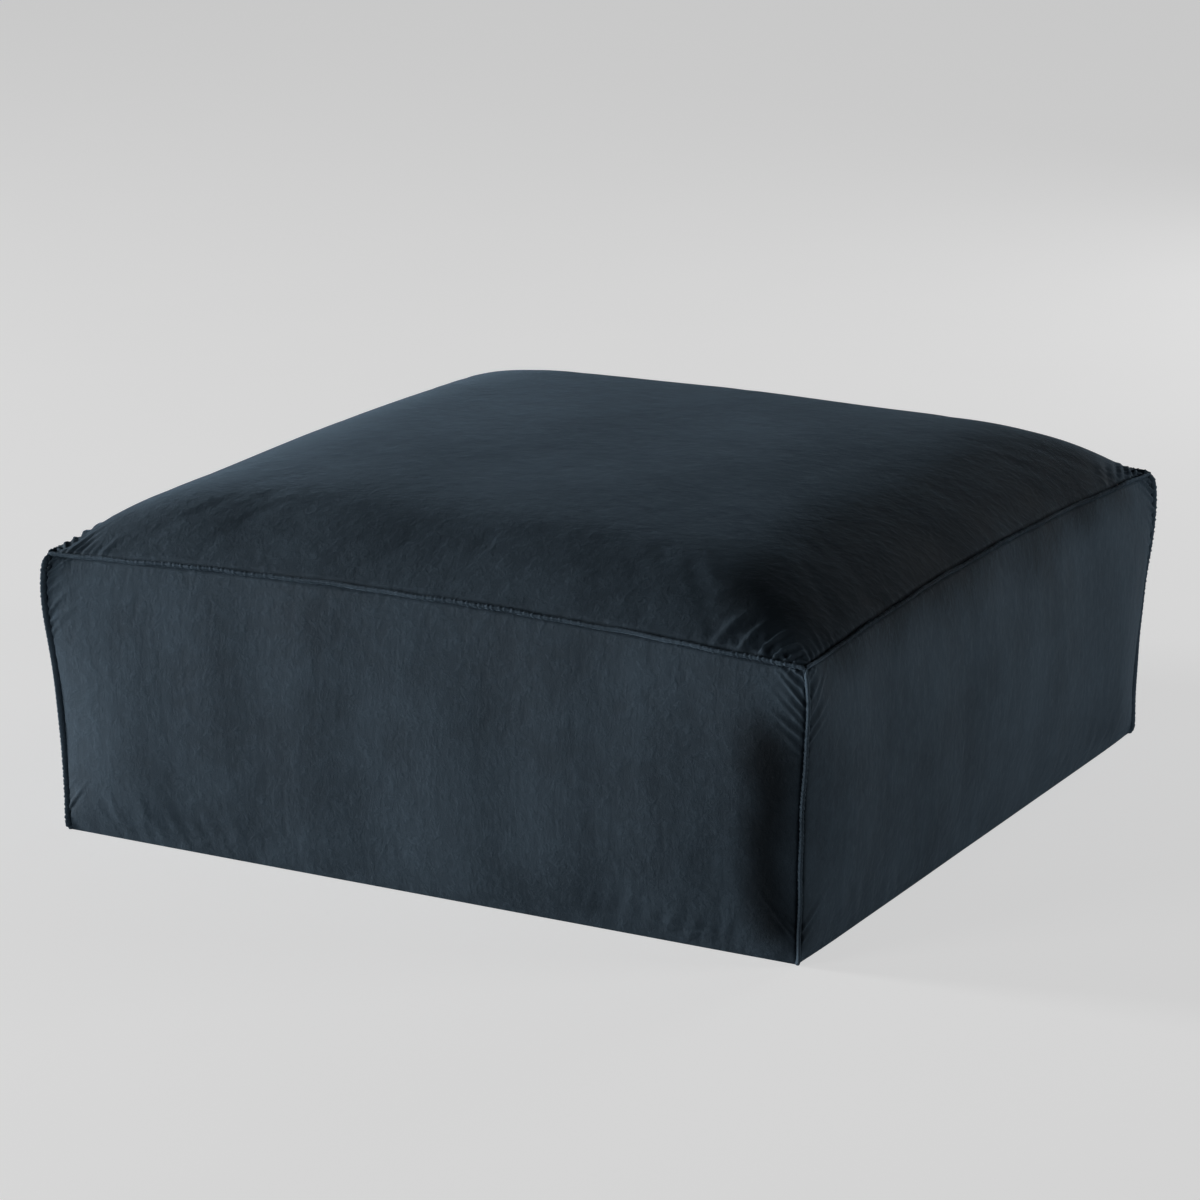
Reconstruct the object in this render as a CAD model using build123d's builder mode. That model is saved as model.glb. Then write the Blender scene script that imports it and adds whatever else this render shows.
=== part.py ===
"""Floor cushion: a zipped velvet cover over an inner bag, fibre padding and three layers of foam.

Millimetres. +Z is up, -Y is the front and +Y the back, where the zip is. The origin is on the floor, under
the centre. One outline describes the cushion. It is drawn square on to the front and square on to the side,
and the two extrusions cross in the outer envelope. The same outline drawn smaller gives each layer inside it.
"""

import os

from build123d import *

# The cushion's outside
SEAM_HALF = 500.0        # centre to the top seam
SEAM_HEIGHT = 352.0      # floor to the top seam
CROWN_RISE = 83.0        # top seam to the highest point of the crown
WIDEST_HALF = 509.0      # centre to the side panels where they bulge most
WIDEST_HEIGHT = 190.0    # floor to that bulge, where the side stands upright
BASE_HALF = 492.0        # centre to the foot of the side panels
BASE_ROUND = 20.0        # rounding where the side panels turn under
TURN_UNDER = 35.0        # width of side panel that lies under the cushion

# Layers inside the cover, as distances inwards from its outer face
COVER_THICK = 3.0
LINER_OUTSIDE = 6.0
LINER_THICK = 1.5
LINER_BASE_SEAM = 10.0   # floor to the seam round the liner's base
WADDING_OUTSIDE = 8.0
WADDING_THICK = 20.0     # at the foot, where it is thinnest
LAYER_GAP = 0.5          # between the foam, the wadding and the topper

# Foam layers, as heights above the floor
BASE_FOAM_TOP = 150.0
CORE_FOAM_TOP = 290.0

# The folded strip sewn into the seams
WELT_PROUD = 5.0
WELT_THICK = 3.5
CORNER_WELT_FOOT = 14.0  # floor to the lower end of a corner strip

# Zip, along X at the back panel's widest height
SLIT_HALF_LENGTH = 445.0
SLIT_HALF_HEIGHT = 5.4
TAPE_HALF_LENGTH = 450.0
TAPE_HEIGHT = 13.0
TAPE_THICK = 0.8
TAPE_GAP = 1.0           # between the two tapes, where the slider's web passes
CHAIN_HALF_LENGTH = 436.0
TEETH_HEIGHT = 2.1
TEETH_THICK = 1.8
STOP_LENGTH = 4.0
STOP_HEIGHT = 6.4
STOP_THICK = 2.1

SLIDER_AT_X = 428.0      # at rest, with the zip closed
SLIDER_LENGTH = 12.0
SLIDER_HEIGHT = 8.8
SLIDER_PLATE = 1.2
SLIDER_WEB = 0.6
SLIDER_WEB_LENGTH = 8.0
SLIDER_CLEARANCE = 0.4   # between each plate and what it slides over
SLIDER_ROUND = 2.0

BRIDGE_LENGTH = 4.4
BRIDGE_WIDTH = 2.4
BRIDGE_TALL = 2.8
PIVOT_RISE = 1.25        # from the slider's outer plate to the pull's axis
PIVOT_HOLE_RADIUS = 0.68
PIVOT_PIN_RADIUS = 0.60

PULL_LENGTH = 26.0       # from its axis to its far end
PULL_WIDTH = 6.4
PULL_THICK = 1.2
PULL_ROUND = 2.6
PULL_WINDOW_LENGTH = 3.4
PULL_WINDOW_WIDTH = 3.0
PULL_HOLE_RADIUS = 1.4
PULL_HOLE_FROM_END = 3.6

REACH = 600.0            # further out than anything on the cushion

# Depths in the back panel, along +Y
COVER_FACE = WIDEST_HALF
TAPE_BACK = COVER_FACE - COVER_THICK
TAPE_FACE = TAPE_BACK + TAPE_THICK
TEETH_FACE = TAPE_FACE + TEETH_THICK
SLIDER_FACE = TEETH_FACE + SLIDER_CLEARANCE + SLIDER_PLATE
PIVOT_Y = SLIDER_FACE + PIVOT_RISE

# The foam is cut square, so its sides stand upright inside the bulging wadding
FOAM_HALF = BASE_HALF - WADDING_OUTSIDE - WADDING_THICK


def envelope(inset):
    """The whole cushion as one solid, inset millimetres inside its outer face."""
    foot = (BASE_HALF - inset, inset)
    widest = (WIDEST_HALF - inset, WIDEST_HEIGHT)
    seam = (SEAM_HALF - inset, SEAM_HEIGHT)
    foot_round = max(BASE_ROUND - inset, 1.0)
    with BuildPart() as solid:
        for view, crossing in ((Plane.XZ, Mode.ADD), (Plane.YZ, Mode.INTERSECT)):
            with BuildSketch(view.offset(-REACH)) as outline:
                with BuildLine():
                    Line((0, inset), foot)
                    TangentArc(widest, foot, tangent=(0, -1))
                    TangentArc(widest, seam, tangent=(0, 1))
                    EllipticalCenterArc((0, SEAM_HEIGHT), seam[0], CROWN_RISE - inset, arc_size=90)
                    mirror(about=Plane.YZ)
                make_face()
                lowest = outline.vertices().group_by(Axis.Y)[0].sort_by(Axis.X)
                fillet((lowest[0], lowest[-1]), radius=foot_round)
            extrude(amount=2 * REACH, mode=crossing)
    return solid.part


def keep_front_quarter():
    """Cuts the open part down to its front quarter, between the mitres at the two front corners."""
    split(bisect_by=Plane(origin=(0, 0, 0), z_dir=(1, -1, 0)), keep=Keep.TOP)
    split(bisect_by=Plane(origin=(0, 0, 0), z_dir=(-1, -1, 0)), keep=Keep.TOP)


def keep_between(low, high):
    """Cuts the open part down to what lies between two heights."""
    split(bisect_by=Plane.XY.offset(low), keep=Keep.TOP)
    split(bisect_by=Plane.XY.offset(high), keep=Keep.BOTTOM)


def turned(shape, angle):
    """A copy of shape, turned about the cushion's upright axis."""
    with BuildPart() as copy:
        add(shape, rotation=(0, 0, angle))
    return copy.part


def write(shape, label):
    """Names a finished piece and writes it."""
    shape.label = label
    export_step(shape, f"parts/{label}.step")


os.makedirs("parts", exist_ok=True)

outer = envelope(0)
liner_outer = envelope(LINER_OUTSIDE)
padding_outer = envelope(WADDING_OUTSIDE)

with BuildPart() as cover_shell:
    add(outer)
    add(envelope(COVER_THICK), mode=Mode.SUBTRACT)

# The crowned top panel, above the seam
with BuildPart() as cover_top:
    add(cover_shell.part)
    split(bisect_by=Plane.XY.offset(SEAM_HEIGHT), keep=Keep.TOP)
write(cover_top.part, "cover_top")

# A side panel turns under the cushion as far as the base cloth
base_cloth_side = 2 * (BASE_HALF - TURN_UNDER)
with BuildPart() as side_panel:
    add(cover_shell.part)
    Box(base_cloth_side, base_cloth_side, 3 * COVER_THICK, mode=Mode.SUBTRACT)
    keep_between(0, SEAM_HEIGHT)
    keep_front_quarter()
write(side_panel.part, "cover_front")
write(turned(side_panel.part, 90), "cover_right")
write(turned(side_panel.part, -90), "cover_left")

with BuildPart() as cover_base:
    with BuildSketch():
        Rectangle(base_cloth_side, base_cloth_side)
    extrude(amount=COVER_THICK)
write(cover_base.part, "cover_base")

# Each half of the zip's tape is let into the inner face of the back panel
half_tape_centre = (TAPE_GAP + TAPE_HEIGHT) / 2
tape_centre_y = (TAPE_BACK + TAPE_FACE) / 2
with BuildPart() as both_tapes:
    with Locations(
        (0, tape_centre_y, WIDEST_HEIGHT - half_tape_centre),
        (0, tape_centre_y, WIDEST_HEIGHT + half_tape_centre),
    ):
        Box(2 * TAPE_HALF_LENGTH, TAPE_THICK, TAPE_HEIGHT)

# The back panel is two strips, which meet beyond the ends of the zip and leave a slit for it between
with BuildPart() as back_panel:
    add(side_panel.part, rotation=(0, 0, 180))
    with Locations((0, COVER_FACE, WIDEST_HEIGHT)):
        Box(2 * SLIT_HALF_LENGTH, 3 * COVER_THICK, 2 * SLIT_HALF_HEIGHT, mode=Mode.SUBTRACT)
    add(both_tapes.part, mode=Mode.SUBTRACT)

for label, side_kept in (("upper", Keep.TOP), ("lower", Keep.BOTTOM)):
    with BuildPart() as back_strip:
        add(back_panel.part)
        split(bisect_by=Plane.XY.offset(WIDEST_HEIGHT), keep=side_kept)
    write(back_strip.part, f"cover_back_{label}")

    with BuildPart() as tape:
        add(both_tapes.part)
        split(bisect_by=Plane.XY.offset(WIDEST_HEIGHT), keep=side_kept)
    write(tape.part, f"zip_tape_{label}")

    above = 1 if side_kept == Keep.TOP else -1
    teeth_centre_z = WIDEST_HEIGHT + above * (TAPE_GAP + TEETH_HEIGHT) / 2
    with BuildPart() as teeth:
        with Locations((0, (TAPE_FACE + TEETH_FACE) / 2, teeth_centre_z)):
            Box(2 * CHAIN_HALF_LENGTH, TEETH_THICK, TEETH_HEIGHT)
    write(teeth.part, f"zip_teeth_{label}")

with BuildPart() as zip_stops:
    stop_x = CHAIN_HALF_LENGTH + STOP_LENGTH / 2
    with Locations(
        (-stop_x, TAPE_FACE + STOP_THICK / 2, WIDEST_HEIGHT),
        (stop_x, TAPE_FACE + STOP_THICK / 2, WIDEST_HEIGHT),
    ):
        Box(STOP_LENGTH, STOP_THICK, STOP_HEIGHT)
write(zip_stops.part, "zip_stops")

# The slider's two plates run over the teeth and behind the tapes, and a web between the tapes joins them
inner_plate_y = TAPE_BACK - SLIDER_CLEARANCE - SLIDER_PLATE / 2
outer_plate_y = SLIDER_FACE - SLIDER_PLATE / 2
with BuildPart() as zip_slider:
    with Locations((SLIDER_AT_X, inner_plate_y, WIDEST_HEIGHT), (SLIDER_AT_X, outer_plate_y, WIDEST_HEIGHT)):
        Box(SLIDER_LENGTH, SLIDER_PLATE, SLIDER_HEIGHT)
    fillet(zip_slider.edges().filter_by(Axis.Y), radius=SLIDER_ROUND)
    with Locations((SLIDER_AT_X, (inner_plate_y + outer_plate_y) / 2, WIDEST_HEIGHT)):
        Box(SLIDER_WEB_LENGTH, outer_plate_y - inner_plate_y, SLIDER_WEB)
    with Locations((SLIDER_AT_X, SLIDER_FACE + BRIDGE_TALL / 2, WIDEST_HEIGHT)):
        Box(BRIDGE_LENGTH, BRIDGE_TALL, BRIDGE_WIDTH)
    with Locations((SLIDER_AT_X, PIVOT_Y, WIDEST_HEIGHT)):
        Cylinder(PIVOT_HOLE_RADIUS, 2 * BRIDGE_WIDTH, mode=Mode.SUBTRACT)
write(zip_slider.part, "zip_slider")

# The pull lies flat, back along the closed zip, and its crossbar passes through the slider's bridge
pull_far_end = SLIDER_AT_X - PULL_LENGTH
pull_near_end = SLIDER_AT_X + PULL_THICK / 2
with BuildPart() as zip_pull:
    with BuildSketch(Plane.XZ.offset(-PIVOT_Y - PULL_THICK / 2)) as pull_face:
        with Locations(((pull_far_end + pull_near_end) / 2, WIDEST_HEIGHT)):
            Rectangle(pull_near_end - pull_far_end, PULL_WIDTH)
        fillet(pull_face.vertices().group_by(Axis.X)[0], radius=PULL_ROUND)
        with Locations((SLIDER_AT_X, WIDEST_HEIGHT)):
            Rectangle(2 * PULL_WINDOW_LENGTH, PULL_WINDOW_WIDTH, mode=Mode.SUBTRACT)
        with Locations((pull_far_end + PULL_HOLE_FROM_END, WIDEST_HEIGHT)):
            Circle(PULL_HOLE_RADIUS, mode=Mode.SUBTRACT)
    extrude(amount=PULL_THICK)
    with Locations((SLIDER_AT_X, PIVOT_Y, WIDEST_HEIGHT)):
        Cylinder(PIVOT_PIN_RADIUS, PULL_WIDTH)
write(zip_pull.part, "zip_pull")

# Top strip: one length along each side, mitred at the corners
with BuildPart() as top_welt:
    with BuildSketch(Plane.XY.offset(SEAM_HEIGHT - WELT_THICK / 2)):
        Rectangle(2 * (SEAM_HALF + WELT_PROUD), 2 * (SEAM_HALF + WELT_PROUD))
    extrude(amount=WELT_THICK)
    add(outer, mode=Mode.SUBTRACT)
    keep_front_quarter()

# Corner strip: a thin upright fin that follows the corner edge, from the top strip down almost to the floor
with BuildPart() as corner_welt:
    add(envelope(-WELT_PROUD))
    add(outer, mode=Mode.SUBTRACT)
    with BuildSketch(Plane.XY.offset(CORNER_WELT_FOOT)):
        with Locations(Location((REACH, -REACH), 45)):
            Rectangle(WELT_THICK, REACH)
    extrude(amount=SEAM_HEIGHT - WELT_THICK / 2 - CORNER_WELT_FOOT, mode=Mode.INTERSECT)

for angle, side, corner in (
    (0, "front", "front_right"),
    (90, "right", "back_right"),
    (180, "back", "back_left"),
    (-90, "left", "front_left"),
):
    write(turned(top_welt.part, angle), f"top_welt_{side}")
    write(turned(corner_welt.part, angle), f"corner_welt_{corner}")

# Inner bag, of three pieces sewn together
with BuildPart() as liner_shell:
    add(liner_outer)
    add(envelope(LINER_OUTSIDE + LINER_THICK), mode=Mode.SUBTRACT)

for label, low, high in (
    ("liner_base", 0, LINER_BASE_SEAM),
    ("liner_boxing", LINER_BASE_SEAM, SEAM_HEIGHT),
    ("liner_top", SEAM_HEIGHT, REACH),
):
    with BuildPart() as liner_piece:
        add(liner_shell.part)
        keep_between(low, high)
    write(liner_piece.part, label)

# Soft crowned pad under the top panel
with BuildPart() as fibre_topper:
    add(padding_outer)
    split(bisect_by=Plane.XY.offset(SEAM_HEIGHT + LAYER_GAP), keep=Keep.TOP)
write(fibre_topper.part, "fibre_topper")

# Fibre wrapped round the foam, straight inside and bulging outside
with BuildPart() as side_wadding:
    add(padding_outer)
    split(bisect_by=Plane.XY.offset(SEAM_HEIGHT), keep=Keep.BOTTOM)
    with BuildSketch():
        Rectangle(2 * (FOAM_HALF + LAYER_GAP), 2 * (FOAM_HALF + LAYER_GAP))
    extrude(amount=REACH, mode=Mode.SUBTRACT)
write(side_wadding.part, "side_wadding")

# Foam, three square blocks on top of each other
for label, low, high in (
    ("base_foam", WADDING_OUTSIDE, BASE_FOAM_TOP),
    ("core_foam", BASE_FOAM_TOP + LAYER_GAP, CORE_FOAM_TOP),
    ("comfort_foam", CORE_FOAM_TOP + LAYER_GAP, SEAM_HEIGHT),
):
    with BuildPart() as foam:
        with BuildSketch(Plane.XY.offset(low)):
            Rectangle(2 * FOAM_HALF, 2 * FOAM_HALF)
        extrude(amount=high - low)
    write(foam.part, label)
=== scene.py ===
import math

import bpy
import numpy as np
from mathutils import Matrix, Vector


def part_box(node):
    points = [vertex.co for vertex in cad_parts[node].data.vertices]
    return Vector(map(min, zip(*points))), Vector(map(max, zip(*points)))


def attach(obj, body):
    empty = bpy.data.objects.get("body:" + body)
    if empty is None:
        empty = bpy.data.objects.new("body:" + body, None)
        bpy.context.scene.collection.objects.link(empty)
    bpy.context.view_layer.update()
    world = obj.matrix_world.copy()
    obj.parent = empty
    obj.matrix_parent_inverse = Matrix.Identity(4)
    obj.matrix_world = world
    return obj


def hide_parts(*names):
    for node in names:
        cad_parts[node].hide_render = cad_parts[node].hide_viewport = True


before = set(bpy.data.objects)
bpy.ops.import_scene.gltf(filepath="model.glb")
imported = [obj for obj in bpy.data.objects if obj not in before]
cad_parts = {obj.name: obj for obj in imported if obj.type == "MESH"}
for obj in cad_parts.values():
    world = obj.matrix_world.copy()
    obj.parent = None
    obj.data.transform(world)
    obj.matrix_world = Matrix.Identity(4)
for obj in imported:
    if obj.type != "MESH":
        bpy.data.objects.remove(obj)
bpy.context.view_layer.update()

# ---------- Sizes, in metres, from the frame

TOP_LOW, TOP_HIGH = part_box("cover_top")

SEAM_HALF = TOP_HIGH.x  # centre to the top seam
CROWN_TOP = TOP_HIGH.z  # floor to the top of the crown
CORNER_DROP = 0.007  # how far the corners lie below the CAD's top panel
CORNER_SEAM = TOP_LOW.z - CORNER_DROP  # floor to the top seam at the corners
SEAM_BOW = 0.015  # how much higher the seam runs midway between two corners
SEAM_PULL = 0.008  # how far in the seam is drawn midway between two corners
BASE_CLOTH_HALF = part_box("cover_base")[1].x
TURN_UNDER = 0.038  # how far the side panels run on under the cushion
BASE_HALF = BASE_CLOTH_HALF + TURN_UNDER  # centre to the foot of the side panels
FOOT_ROUND = 0.008  # rounding where they turn under
SIDE_BULGE = 0.0085  # how far a side panel stands out before the cover is inflated
INFLATION = 0.004  # how much the crown rises as the cover is inflated
CROWN_START = CROWN_TOP - INFLATION

ZIP_LOW, ZIP_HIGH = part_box("zip_stops")
ZIP_HEIGHT = (ZIP_LOW.z + ZIP_HIGH.z) / 2
ZIP_FACE = ZIP_HIGH.y  # how far out the back panel lies beside the zip
SLIT_PAST_STOP = 0.005
ZIP_HALF = ZIP_HIGH.x + SLIT_PAST_STOP  # half the length of the slit
ZIP_GAP = 0.0054  # half the height of the slit

# The coarse grid that is simulated
SIDE_CELLS = 84  # along each edge of the cushion
FOOT_CELLS = 3  # up the rounding at the foot
WALL_CELLS = 27  # up the side panel
RISE_CELLS = FOOT_CELLS + WALL_CELLS


def smooth(x):
    x = np.clip(x, 0.0, 1.0)
    return x * x * (3 - 2 * x)


# ---------- The cover's shape before it is simulated

CORNER_EAR = 0.005  # how far a corner seam stands out just below the top
EAR_RISE, EAR_SPAN = 0.86, 0.2  # where it does so, as shares of the seam's height
CORNER_LEAN = 0.009  # how far in its foot lies
LEAN_START, LEAN_SPAN = 0.05, 0.85  # where it leans, as shares of the seam's height
CROWN_FLATNESS = 11  # the higher, the nearer its edges the crown falls
SIDE_FLATNESS = 13  # the same for the bulge of a side panel
BULGE_LOW, BULGE_FULL = 0.9, 0.7  # powers that set the bulge low and make it full


def corner_half(rise):
    """Centre to a corner seam, rise being 0 at the floor and 1 at the top seam."""
    ear = CORNER_EAR * np.exp(-((rise - EAR_RISE) / EAR_SPAN) ** 2)
    return SEAM_HALF - CORNER_LEAN * (1 - smooth((rise - LEAN_START) / LEAN_SPAN)) + ear


def top_surface(u, v):
    """The crowned top panel. u and v run from -1 to 1 between the seams."""
    x = u * (SEAM_HALF - SEAM_PULL * (1 - v ** 2))
    y = v * (SEAM_HALF - SEAM_PULL * (1 - u ** 2))
    seam = CORNER_SEAM + SEAM_BOW * ((1 - u ** 2) + (1 - v ** 2))
    crown = CROWN_START - CORNER_SEAM - 2 * SEAM_BOW
    crown = crown * (1 - np.abs(u) ** CROWN_FLATNESS) * (1 - np.abs(v) ** CROWN_FLATNESS)
    return np.stack([x, y, seam + crown], -1)


def side_surface(s, rise):
    """The front side panel. s runs from -1 to 1 between the corner seams. rise runs from -1 at the floor to
    0 over the rounding at the foot, and from there to 1 at the top seam."""
    foot = np.clip(-rise, 0, 1) * math.pi / 2
    wall = np.clip(rise, 0, 1)
    seam = CORNER_SEAM + SEAM_BOW * (1 - s ** 2)
    z = np.where(rise < 0, FOOT_ROUND * (1 - np.sin(foot)), FOOT_ROUND + wall * (seam - FOOT_ROUND))
    tuck = FOOT_ROUND * (1 - np.cos(foot))
    corner = corner_half(wall)
    bulge = SIDE_BULGE * np.sin(math.pi * wall ** BULGE_LOW) ** BULGE_FULL
    middle = BASE_HALF + (SEAM_HALF - BASE_HALF) * wall + bulge
    out = corner + (middle - corner) * (1 - np.abs(s) ** SIDE_FLATNESS)
    pull = SEAM_PULL * (1 - s ** 2) * wall ** 3
    return np.stack([s * (corner - tuck), -(out - tuck - pull), z], -1)


def turned(points, quarter):
    """Points of the front side panel, turned to the side that is quarter turns on: 1 is the right side."""
    c, s = round(math.cos(quarter * math.pi / 2)), round(math.sin(quarter * math.pi / 2))
    x, y, z = points[..., 0], points[..., 1], points[..., 2]
    return np.stack([c * x - s * y, s * x + c * y, z], -1)


def lattice_point_ids():
    """Numbers the points on the outside of a box of SIDE_CELLS by SIDE_CELLS by RISE_CELLS cells."""
    ids = {}
    n, m = SIDE_CELLS, RISE_CELLS
    for k in range(m + 1):
        for j in range(n + 1):
            for i in range(n + 1):
                if i in (0, n) or j in (0, n) or k in (0, m):
                    ids[i, j, k] = len(ids)
    return ids


def side_lattice(quarter):
    """Lattice keys of a side panel, [along][up], in the order that the turned front panel runs."""
    n = SIDE_CELLS
    edges = [((a, 0), (n, a), (n - a, n), (0, n - a)) for a in range(n + 1)]
    return [[(*places_on_edges[quarter], k) for k in range(RISE_CELLS + 1)] for places_on_edges in edges]


def top_lattice(k):
    """Lattice keys of the top panel, or of the base, [along x][along y]."""
    return [[(i, j, k) for j in range(SIDE_CELLS + 1)] for i in range(SIDE_CELLS + 1)]


def starting_shape(ids):
    """The place of each lattice point before the cover is inflated."""
    points = np.zeros((len(ids), 3))
    u = np.linspace(-1, 1, SIDE_CELLS + 1)
    foot_rise = np.linspace(-1, 0, FOOT_CELLS, endpoint=False)
    rise = np.concatenate([foot_rise, np.linspace(0, 1, WALL_CELLS + 1)])
    flat_half = BASE_HALF - FOOT_ROUND
    uu, vv = np.meshgrid(u, u, indexing="ij")
    base = np.stack([uu * flat_half, vv * flat_half, 0 * uu], -1)
    for keys, values in ((top_lattice(0), base), (top_lattice(RISE_CELLS), top_surface(uu, vv))):
        for i, row in enumerate(keys):
            for j, key in enumerate(row):
                points[ids[key]] = values[i, j]
    ss, rr = np.meshgrid(u, rise, indexing="ij")
    side = side_surface(ss, rr)
    for quarter in range(4):
        values = turned(side, quarter)
        for a, row in enumerate(side_lattice(quarter)):
            for k, key in enumerate(row[1:-1], start=1):
                points[ids[key]] = values[a, k]
    return points


def lattice_faces(ids):
    """The four-sided faces between the lattice points, all facing outwards."""
    faces = []

    def add_grid(keys, flip):
        for row, after in zip(keys, keys[1:]):
            for a, b, c, d in zip(row, after, after[1:], row[1:]):
                face = [ids[a], ids[b], ids[c], ids[d]]
                faces.append(face[::-1] if flip else face)

    add_grid(top_lattice(RISE_CELLS), False)
    add_grid(top_lattice(0), True)
    for quarter in range(4):
        add_grid(side_lattice(quarter), False)
    return faces


WAVE_COUNT = 14


def soft_noise(points, seed, size):
    """A smooth random value at each point, from a few waves about size metres long."""
    random = np.random.default_rng(seed)
    value = np.zeros(len(points))
    for _ in range(WAVE_COUNT):
        direction = random.normal(size=3)
        direction /= np.linalg.norm(direction)
        length = size * random.uniform(0.7, 1.6)
        value += np.sin(points @ direction * 2 * math.pi / length + random.uniform(0, 2 * math.pi))
    return value / math.sqrt(WAVE_COUNT)


CLOTH_FRAMES = 24
CLOTH_SETTINGS = {
    "quality": 6,
    "mass": 0.25,
    "tension_stiffness": 22,
    "compression_stiffness": 12,
    "shear_stiffness": 8,
    "bending_stiffness": 0.8,
    "use_pressure": True,
    "uniform_pressure_force": 3.0,
    "vertex_group_mass": "held",
    "pin_stiffness": 1.2,
}
SLACK = 1.012  # the cover is cut this much larger than its filling
UNEVEN_CUT, UNEVEN_SIZE = 0.0015, 0.16  # how unevenly, and over what distance
HELD_FOOT, HELD_SEAM, HELD_PANEL = 1.0, 0.55, 0.06  # how firmly each part keeps its place
MOVE_CAP = 0.007  # the filling lets no point move further than this


def holding_weights(ids):
    """How firmly each point is held: fully at the foot, partly at the seams, hardly in the panels."""
    held = np.zeros(len(ids))
    for (i, j, k), number in ids.items():
        on_edges = (i in (0, SIDE_CELLS)) + (j in (0, SIDE_CELLS)) + (k == RISE_CELLS)
        if k <= 1:
            held[number] = HELD_FOOT
        elif on_edges >= 2:
            held[number] = HELD_SEAM
        else:
            held[number] = HELD_PANEL
    return held


def simulate_cover(ids):
    """Inflates the cover as cloth and returns the place of each lattice point."""
    start = starting_shape(ids)
    mesh = bpy.data.meshes.new("cover_cloth")
    mesh.from_pydata(start.tolist(), [], lattice_faces(ids))
    cover = bpy.data.objects.new("cover_cloth", mesh)
    scene = bpy.context.scene
    scene.collection.objects.link(cover)

    cut = start * SLACK
    cut += soft_noise(start, 5, UNEVEN_SIZE)[:, None] * UNEVEN_CUT
    cover.shape_key_add(name="Basis")
    rest_key = cover.shape_key_add(name="cut")
    rest_key.data.foreach_set("co", cut.ravel())
    rest_key.value = 0.0
    group = cover.vertex_groups.new(name="held")
    for number, weight in enumerate(holding_weights(ids)):
        group.add([number], weight, "REPLACE")

    modifier = cover.modifiers.new("Cloth", "CLOTH")
    for setting, value in CLOTH_SETTINGS.items():
        setattr(modifier.settings, setting, value)
    modifier.settings.effector_weights.gravity = 0
    modifier.settings.rest_shape_key = rest_key
    modifier.collision_settings.use_self_collision = False
    modifier.point_cache.frame_start = 1
    modifier.point_cache.frame_end = CLOTH_FRAMES
    scene.frame_start = 1
    scene.frame_end = CLOTH_FRAMES
    for number in range(1, CLOTH_FRAMES + 1):
        scene.frame_set(number)
    evaluated = cover.evaluated_get(bpy.context.evaluated_depsgraph_get())
    settled = np.zeros(len(start) * 3, np.float32)
    evaluated.data.vertices.foreach_get("co", settled)
    settled = settled.reshape(-1, 3).astype(float)
    scene.frame_set(1)
    bpy.data.objects.remove(cover)
    bpy.data.meshes.remove(mesh)

    moved = settled - start
    distance = np.linalg.norm(moved, axis=1, keepdims=True)
    capped = MOVE_CAP * np.tanh(distance / MOVE_CAP)
    return start + moved * capped / np.maximum(distance, 1e-9)


# ---------- From the simulated grid to fine panels

GRADING_SAMPLES = 4000


def graded(length, near, far, reach):
    """Distances from 0 to length, near apart at its ends and growing to far apart over reach."""
    fine = np.linspace(0, length, GRADING_SAMPLES)
    from_end = np.minimum(fine, length - fine)
    step = near + (far - near) * smooth(from_end / reach)
    count = np.concatenate([[0], np.cumsum(np.diff(fine) / step[:-1])])
    whole = int(round(count[-1]))
    return np.interp(np.linspace(0, count[-1], whole + 1), count, fine)


def spline_weights(cells, at):
    """Weights that turn cells + 1 grid points into a smooth cubic spline at the given places, in cells."""
    first = np.clip(np.floor(at).astype(int), 0, cells - 1)
    f = at - first
    before = 3 * f ** 3 - 6 * f ** 2 + 4
    after = -3 * f ** 3 + 3 * f ** 2 + 3 * f + 1
    four = np.stack([(1 - f) ** 3, before, after, f ** 3]) / 6
    padded = np.zeros((len(at), cells + 3))
    for k in range(4):
        padded[np.arange(len(at)), first + k] = four[k]
    weights = padded[:, 1:-1].copy()
    weights[:, 0] += 2 * padded[:, 0]
    weights[:, 1] -= padded[:, 0]
    weights[:, -1] += 2 * padded[:, -1]
    weights[:, -2] -= padded[:, -1]
    return weights


def grid_of(keys, ids, places):
    """The places of a grid of lattice keys, [along][across]."""
    return np.array([[places[ids[key]] for key in row] for row in keys])


def normals_of(grid):
    """The unit vector that stands square on a grid at each of its points."""
    along = np.gradient(grid, axis=0)
    across = np.gradient(grid, axis=1)
    normal = np.cross(along, across)
    return normal / np.maximum(np.linalg.norm(normal, axis=-1, keepdims=True), 1e-12)


def refined(grid, places_a, places_b):
    """The smooth surface of a grid, at places_a along it, each with its own row of places_b."""
    rows = np.einsum("ai,ijk->ajk", spline_weights(grid.shape[0] - 1, places_a), grid)
    cells = grid.shape[1] - 1
    return np.array([spline_weights(cells, b) @ row for row, b in zip(rows, places_b)])


def lengths_along(line):
    """Distance along a line of points, from its start to each point."""
    return np.concatenate([[0], np.cumsum(np.linalg.norm(np.diff(line, axis=0), axis=1))])


# ---------- Seams, gathers and folds: small movements of a fine panel

SEAM_SINK = 0.0042  # how deep a seam lies between the two panels it joins
SEAM_SOFTNESS = 0.0038  # how far from the seam a panel starts to turn in
SEAM_FADE = 0.006  # how near a corner the sinking dies out
PUCKER_START = 0.0025  # how far from the seam a pucker begins
FOLD_START = 0.003  # how far from the seam a fold begins
TOP_SEAM_OUT, TOP_SEAM_UP = 0.75, 0.66  # which way a panel faces where it sinks into the top seam
RIDGE_OUT, RIDGE_UP = 0.78, 0.62  # which way the top seam's ridge stands

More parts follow.
